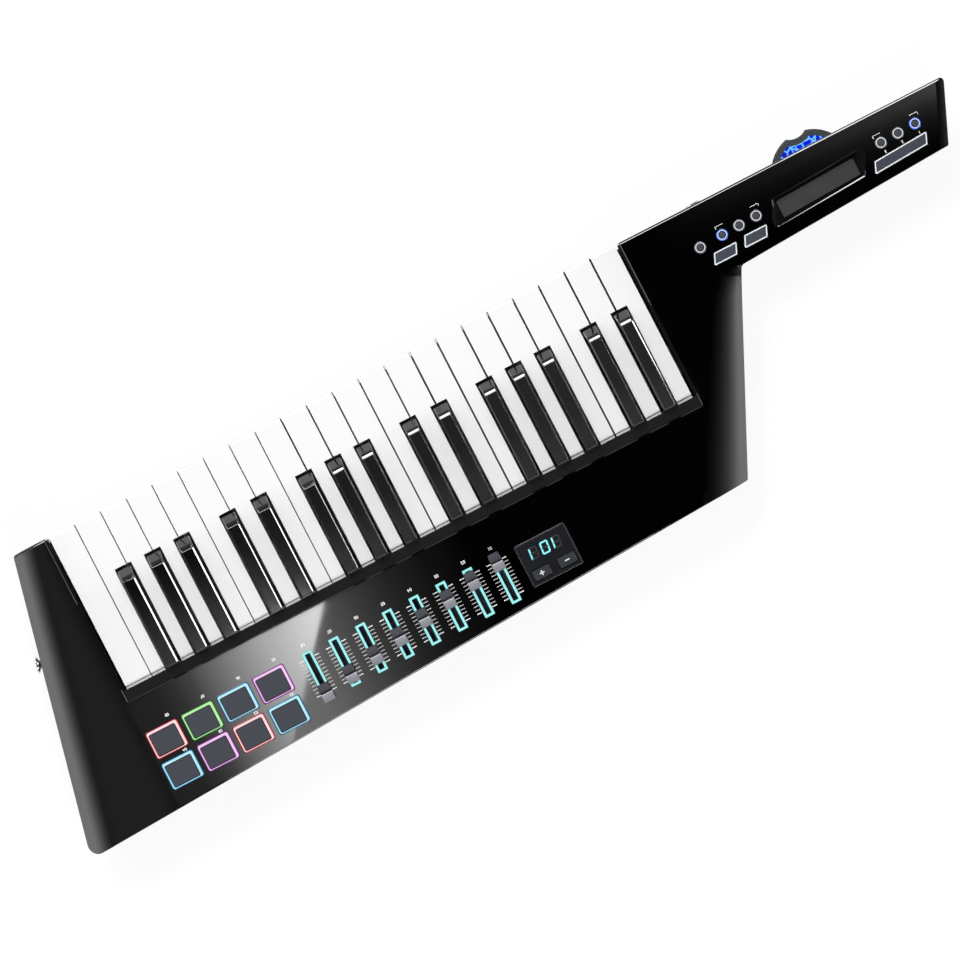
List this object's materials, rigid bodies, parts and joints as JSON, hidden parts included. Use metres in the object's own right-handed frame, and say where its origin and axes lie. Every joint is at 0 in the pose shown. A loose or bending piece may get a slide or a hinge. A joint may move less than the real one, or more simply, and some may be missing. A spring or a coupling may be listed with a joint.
{
  "type": "keytar",
  "caption": "Strap-worn keyboard controller with full-size sprung keys, lit pads, slide faders, a display, and a short neck with a touch ribbon, buttons and a pitch wheel.",
  "frame": {"origin": "on the flat back of the case, under the middle of the visible keys", "axes": "+X along the key row towards the neck, +Y from the control panel towards the free ends of the keys, +Z from the back of the case towards the player's fingers"},
  "size_m": [0.9019, 0.2605, 0.0669],
  "materials": {
    "case_gloss": "polished black ABS, mirror-like",
    "case_satin": "fine-textured black ABS",
    "chassis": "moulded dark grey",
    "circuit_board": "green solder resist",
    "pad_silicone": "matte translucent silicone",
    "button_silicone": "matte silicone",
    "fader_cap": "moulded grey, lighter lower half",
    "wheel": "smooth moulding lit from inside",
    "strap_metal": "polished chrome plate",
    "key_white": "polished white acrylic",
    "key_black": "semi-gloss black"
  },
  "bodies": {
    "case": {"front_housing": "case_gloss", "rear_housing": "case_satin", "keybed_chassis": "chassis", "main_board": "circuit_board", "neck_board": "circuit_board", "pad_mat": "pad_silicone", "strap_button_end": "strap_metal", "strap_button_neck": "strap_metal"},
    "battery_door": {"battery_door": "case_satin"},
    "pitch_wheel": {"pitch_wheel": "wheel"},
    "octave_up_button": {"octave_up_button": "button_silicone"},
    "octave_down_button": {"octave_down_button": "button_silicone"},
    "sustain_button": {"sustain_button": "button_silicone"},
    "program_plus_button": {"program_plus_button": "button_silicone"},
    "program_minus_button": {"program_minus_button": "button_silicone"},
    "fader_01": {"fader_01": "fader_cap"},
    "fader_02": {"fader_02": "fader_cap"},
    "fader_03": {"fader_03": "fader_cap"},
    "fader_04": {"fader_04": "fader_cap"},
    "fader_05": {"fader_05": "fader_cap"},
    "fader_06": {"fader_06": "fader_cap"},
    "fader_07": {"fader_07": "fader_cap"},
    "fader_08": {"fader_08": "fader_cap"},
    "white_key_01": {"white_key_01": "key_white"},
    "white_key_02": {"white_key_02": "key_white"},
    "white_key_03": {"white_key_03": "key_white"},
    "white_key_04": {"white_key_04": "key_white"},
    "white_key_05": {"white_key_05": "key_white"},
    "white_key_06": {"white_key_06": "key_white"},
    "white_key_07": {"white_key_07": "key_white"},
    "white_key_08": {"white_key_08": "key_white"},
    "white_key_09": {"white_key_09": "key_white"},
    "white_key_10": {"white_key_10": "key_white"},
    "white_key_11": {"white_key_11": "key_white"},
    "white_key_12": {"white_key_12": "key_white"},
    "white_key_13": {"white_key_13": "key_white"},
    "white_key_14": {"white_key_14": "key_white"},
    "white_key_15": {"white_key_15": "key_white"},
    "white_key_16": {"white_key_16": "key_white"},
    "white_key_17": {"white_key_17": "key_white"},
    "white_key_18": {"white_key_18": "key_white"},
    "white_key_19": {"white_key_19": "key_white"},
    "white_key_20": {"white_key_20": "key_white"},
    "white_key_21": {"white_key_21": "key_white"},
    "white_key_22": {"white_key_22": "key_white"},
    "black_key_01": {"black_key_01": "key_black"},
    "black_key_02": {"black_key_02": "key_black"},
    "black_key_03": {"black_key_03": "key_black"},
    "black_key_04": {"black_key_04": "key_black"},
    "black_key_05": {"black_key_05": "key_black"},
    "black_key_06": {"black_key_06": "key_black"},
    "black_key_07": {"black_key_07": "key_black"},
    "black_key_08": {"black_key_08": "key_black"},
    "black_key_09": {"black_key_09": "key_black"},
    "black_key_10": {"black_key_10": "key_black"},
    "black_key_11": {"black_key_11": "key_black"},
    "black_key_12": {"black_key_12": "key_black"},
    "black_key_13": {"black_key_13": "key_black"},
    "black_key_14": {"black_key_14": "key_black"},
    "black_key_15": {"black_key_15": "key_black"}
  },
  "joints": [
    {"name": "battery_door_hinge", "type": "hinge", "parent": "case", "child": "battery_door", "pos_m": [0, -0.10975, 0.0012], "axis": [1, 0, 0], "range_deg": [0, 80]},
    {"name": "pitch_wheel_turn", "type": "hinge", "parent": "case", "child": "pitch_wheel", "pos_m": [0.4309, 0.04965, 0.0388], "axis": [0, 0, 1], "range_deg": [-30, 30], "stiffness_Nm_per_rad": 0.05},
    {"name": "octave_up_press", "type": "slide", "parent": "case", "child": "octave_up_button", "axis": [0, 0, -1], "range_m": [0, 0.0008], "stiffness_N_per_m": 600, "springref_m": -0.002},
    {"name": "octave_down_press", "type": "slide", "parent": "case", "child": "octave_down_button", "axis": [0, 0, -1], "range_m": [0, 0.0008], "stiffness_N_per_m": 600, "springref_m": -0.002},
    {"name": "sustain_press", "type": "slide", "parent": "case", "child": "sustain_button", "axis": [0, 0, -1], "range_m": [0, 0.0008], "stiffness_N_per_m": 600, "springref_m": -0.002},
    {"name": "program_plus_press", "type": "slide", "parent": "case", "child": "program_plus_button", "axis": [0, 0, -1], "range_m": [0, 0.0008], "stiffness_N_per_m": 600, "springref_m": -0.002},
    {"name": "program_minus_press", "type": "slide", "parent": "case", "child": "program_minus_button", "axis": [0, 0, -1], "range_m": [0, 0.0008], "stiffness_N_per_m": 600, "springref_m": -0.002},
    {"name": "fader_01_slide", "type": "slide", "parent": "case", "child": "fader_01", "axis": [0, 1, 0], "range_m": [-0.0304, 0]},
    {"name": "fader_02_slide", "type": "slide", "parent": "case", "child": "fader_02", "axis": [0, 1, 0], "range_m": [-0.02606, 0.00434]},
    {"name": "fader_03_slide", "type": "slide", "parent": "case", "child": "fader_03", "axis": [0, 1, 0], "range_m": [-0.02171, 0.00869]},
    {"name": "fader_04_slide", "type": "slide", "parent": "case", "child": "fader_04", "axis": [0, 1, 0], "range_m": [-0.01737, 0.01303]},
    {"name": "fader_05_slide", "type": "slide", "parent": "case", "child": "fader_05", "axis": [0, 1, 0], "range_m": [-0.01303, 0.01737]},
    {"name": "fader_06_slide", "type": "slide", "parent": "case", "child": "fader_06", "axis": [0, 1, 0], "range_m": [-0.00869, 0.02171]},
    {"name": "fader_07_slide", "type": "slide", "parent": "case", "child": "fader_07", "axis": [0, 1, 0], "range_m": [-0.00434, 0.02606]},
    {"name": "fader_08_slide", "type": "slide", "parent": "case", "child": "fader_08", "axis": [0, 1, 0], "range_m": [0, 0.0304]},
    {"name": "white_key_01_hinge", "type": "hinge", "parent": "case", "child": "white_key_01", "pos_m": [0, -0.09635, 0.041], "axis": [-1, 0, 0], "range_deg": [0, 3.45], "stiffness_Nm_per_rad": 0.6, "springref_deg": -6.88},
    {"name": "black_key_01_hinge", "type": "hinge", "parent": "case", "child": "black_key_01", "pos_m": [0, -0.09635, 0.041], "axis": [-1, 0, 0], "range_deg": [0, 3.45], "stiffness_Nm_per_rad": 0.6, "springref_deg": -6.88},
    {"name": "white_key_02_hinge", "type": "hinge", "parent": "case", "child": "white_key_02", "pos_m": [0, -0.09635, 0.041], "axis": [-1, 0, 0], "range_deg": [0, 3.45], "stiffness_Nm_per_rad": 0.6, "springref_deg": -6.88},
    {"name": "black_key_02_hinge", "type": "hinge", "parent": "case", "child": "black_key_02", "pos_m": [0, -0.09635, 0.041], "axis": [-1, 0, 0], "range_deg": [0, 3.45], "stiffness_Nm_per_rad": 0.6, "springref_deg": -6.88},
    {"name": "white_key_03_hinge", "type": "hinge", "parent": "case", "child": "white_key_03", "pos_m": [0, -0.09635, 0.041], "axis": [-1, 0, 0], "range_deg": [0, 3.45], "stiffness_Nm_per_rad": 0.6, "springref_deg": -6.88},
    {"name": "black_key_03_hinge", "type": "hinge", "parent": "case", "child": "black_key_03", "pos_m": [0, -0.09635, 0.041], "axis": [-1, 0, 0], "range_deg": [0, 3.45], "stiffness_Nm_per_rad": 0.6, "springref_deg": -6.88},
    {"name": "white_key_04_hinge", "type": "hinge", "parent": "case", "child": "white_key_04", "pos_m": [0, -0.09635, 0.041], "axis": [-1, 0, 0], "range_deg": [0, 3.45], "stiffness_Nm_per_rad": 0.6, "springref_deg": -6.88},
    {"name": "black_key_04_hinge", "type": "hinge", "parent": "case", "child": "black_key_04", "pos_m": [0, -0.09635, 0.041], "axis": [-1, 0, 0], "range_deg": [0, 3.45], "stiffness_Nm_per_rad": 0.6, "springref_deg": -6.88},
    {"name": "white_key_05_hinge", "type": "hinge", "parent": "case", "child": "white_key_05", "pos_m": [0, -0.09635, 0.041], "axis": [-1, 0, 0], "range_deg": [0, 3.45], "stiffness_Nm_per_rad": 0.6, "springref_deg": -6.88},
    {"name": "black_key_05_hinge", "type": "hinge", "parent": "case", "child": "black_key_05", "pos_m": [0, -0.09635, 0.041], "axis": [-1, 0, 0], "range_deg": [0, 3.45], "stiffness_Nm_per_rad": 0.6, "springref_deg": -6.88},
    {"name": "white_key_06_hinge", "type": "hinge", "parent": "case", "child": "white_key_06", "pos_m": [0, -0.09635, 0.041], "axis": [-1, 0, 0], "range_deg": [0, 3.45], "stiffness_Nm_per_rad": 0.6, "springref_deg": -6.88},
    {"name": "black_key_06_hinge", "type": "hinge", "parent": "case", "child": "black_key_06", "pos_m": [0, -0.09635, 0.041], "axis": [-1, 0, 0], "range_deg": [0, 3.45], "stiffness_Nm_per_rad": 0.6, "springref_deg": -6.88},
    {"name": "white_key_07_hinge", "type": "hinge", "parent": "case", "child": "white_key_07", "pos_m": [0, -0.09635, 0.041], "axis": [-1, 0, 0], "range_deg": [0, 3.45], "stiffness_Nm_per_rad": 0.6, "springref_deg": -6.88},
    {"name": "white_key_08_hinge", "type": "hinge", "parent": "case", "child": "white_key_08", "pos_m": [0, -0.09635, 0.041], "axis": [-1, 0, 0], "range_deg": [0, 3.45], "stiffness_Nm_per_rad": 0.6, "springref_deg": -6.88},
    {"name": "white_key_09_hinge", "type": "hinge", "parent": "case", "child": "white_key_09", "pos_m": [0, -0.09635, 0.041], "axis": [-1, 0, 0], "range_deg": [0, 3.45], "stiffness_Nm_per_rad": 0.6, "springref_deg": -6.88},
    {"name": "white_key_10_hinge", "type": "hinge", "parent": "case", "child": "white_key_10", "pos_m": [0, -0.09635, 0.041], "axis": [-1, 0, 0], "range_deg": [0, 3.45], "stiffness_Nm_per_rad": 0.6, "springref_deg": -6.88},
    {"name": "white_key_11_hinge", "type": "hinge", "parent": "case", "child": "white_key_11", "pos_m": [0, -0.09635, 0.041], "axis": [-1, 0, 0], "range_deg": [0, 3.45], "stiffness_Nm_per_rad": 0.6, "springref_deg": -6.88},
    {"name": "white_key_12_hinge", "type": "hinge", "parent": "case", "child": "white_key_12", "pos_m": [0, -0.09635, 0.041], "axis": [-1, 0, 0], "range_deg": [0, 3.45], "stiffness_Nm_per_rad": 0.6, "springref_deg": -6.88},
    {"name": "white_key_13_hinge", "type": "hinge", "parent": "case", "child": "white_key_13", "pos_m": [0, -0.09635, 0.041], "axis": [-1, 0, 0], "range_deg": [0, 3.45], "stiffness_Nm_per_rad": 0.6, "springref_deg": -6.88},
    {"name": "white_key_14_hinge", "type": "hinge", "parent": "case", "child": "white_key_14", "pos_m": [0, -0.09635, 0.041], "axis": [-1, 0, 0], "range_deg": [0, 3.45], "stiffness_Nm_per_rad": 0.6, "springref_deg": -6.88},
    {"name": "white_key_15_hinge", "type": "hinge", "parent": "case", "child": "white_key_15", "pos_m": [0, -0.09635, 0.041], "axis": [-1, 0, 0], "range_deg": [0, 3.45], "stiffness_Nm_per_rad": 0.6, "springref_deg": -6.88},
    {"name": "white_key_16_hinge", "type": "hinge", "parent": "case", "child": "white_key_16", "pos_m": [0, -0.09635, 0.041], "axis": [-1, 0, 0], "range_deg": [0, 3.45], "stiffness_Nm_per_rad": 0.6, "springref_deg": -6.88},
    {"name": "white_key_17_hinge", "type": "hinge", "parent": "case", "child": "white_key_17", "pos_m": [0, -0.09635, 0.041], "axis": [-1, 0, 0], "range_deg": [0, 3.45], "stiffness_Nm_per_rad": 0.6, "springref_deg": -6.88},
    {"name": "white_key_18_hinge", "type": "hinge", "parent": "case", "child": "white_key_18", "pos_m": [0, -0.09635, 0.041], "axis": [-1, 0, 0], "range_deg": [0, 3.45], "stiffness_Nm_per_rad": 0.6, "springref_deg": -6.88},
    {"name": "white_key_19_hinge", "type": "hinge", "parent": "case", "child": "white_key_19", "pos_m": [0, -0.09635, 0.041], "axis": [-1, 0, 0], "range_deg": [0, 3.45], "stiffness_Nm_per_rad": 0.6, "springref_deg": -6.88},
    {"name": "white_key_20_hinge", "type": "hinge", "parent": "case", "child": "white_key_20", "pos_m": [0, -0.09635, 0.041], "axis": [-1, 0, 0], "range_deg": [0, 3.45], "stiffness_Nm_per_rad": 0.6, "springref_deg": -6.88},
    {"name": "white_key_21_hinge", "type": "hinge", "parent": "case", "child": "white_key_21", "pos_m": [0, -0.09635, 0.041], "axis": [-1, 0, 0], "range_deg": [0, 3.45], "stiffness_Nm_per_rad": 0.6, "springref_deg": -6.88},
    {"name": "white_key_22_hinge", "type": "hinge", "parent": "case", "child": "white_key_22", "pos_m": [0, -0.09635, 0.041], "axis": [-1, 0, 0], "range_deg": [0, 3.45], "stiffness_Nm_per_rad": 0.6, "springref_deg": -6.88},
    {"name": "black_key_07_hinge", "type": "hinge", "parent": "case", "child": "black_key_07", "pos_m": [0, -0.09635, 0.041], "axis": [-1, 0, 0], "range_deg": [0, 3.45], "stiffness_Nm_per_rad": 0.6, "springref_deg": -6.88},
    {"name": "black_key_08_hinge", "type": "hinge", "parent": "case", "child": "black_key_08", "pos_m": [0, -0.09635, 0.041], "axis": [-1, 0, 0], "range_deg": [0, 3.45], "stiffness_Nm_per_rad": 0.6, "springref_deg": -6.88},
    {"name": "black_key_09_hinge", "type": "hinge", "parent": "case", "child": "black_key_09", "pos_m": [0, -0.09635, 0.041], "axis": [-1, 0, 0], "range_deg": [0, 3.45], "stiffness_Nm_per_rad": 0.6, "springref_deg": -6.88},
    {"name": "black_key_10_hinge", "type": "hinge", "parent": "case", "child": "black_key_10", "pos_m": [0, -0.09635, 0.041], "axis": [-1, 0, 0], "range_deg": [0, 3.45], "stiffness_Nm_per_rad": 0.6, "springref_deg": -6.88},
    {"name": "black_key_11_hinge", "type": "hinge", "parent": "case", "child": "black_key_11", "pos_m": [0, -0.09635, 0.041], "axis": [-1, 0, 0], "range_deg": [0, 3.45], "stiffness_Nm_per_rad": 0.6, "springref_deg": -6.88},
    {"name": "black_key_12_hinge", "type": "hinge", "parent": "case", "child": "black_key_12", "pos_m": [0, -0.09635, 0.041], "axis": [-1, 0, 0], "range_deg": [0, 3.45], "stiffness_Nm_per_rad": 0.6, "springref_deg": -6.88},
    {"name": "black_key_13_hinge", "type": "hinge", "parent": "case", "child": "black_key_13", "pos_m": [0, -0.09635, 0.041], "axis": [-1, 0, 0], "range_deg": [0, 3.45], "stiffness_Nm_per_rad": 0.6, "springref_deg": -6.88},
    {"name": "black_key_14_hinge", "type": "hinge", "parent": "case", "child": "black_key_14", "pos_m": [0, -0.09635, 0.041], "axis": [-1, 0, 0], "range_deg": [0, 3.45], "stiffness_Nm_per_rad": 0.6, "springref_deg": -6.88},
    {"name": "black_key_15_hinge", "type": "hinge", "parent": "case", "child": "black_key_15", "pos_m": [0, -0.09635, 0.041], "axis": [-1, 0, 0], "range_deg": [0, 3.45], "stiffness_Nm_per_rad": 0.6, "springref_deg": -6.88}
  ]
}
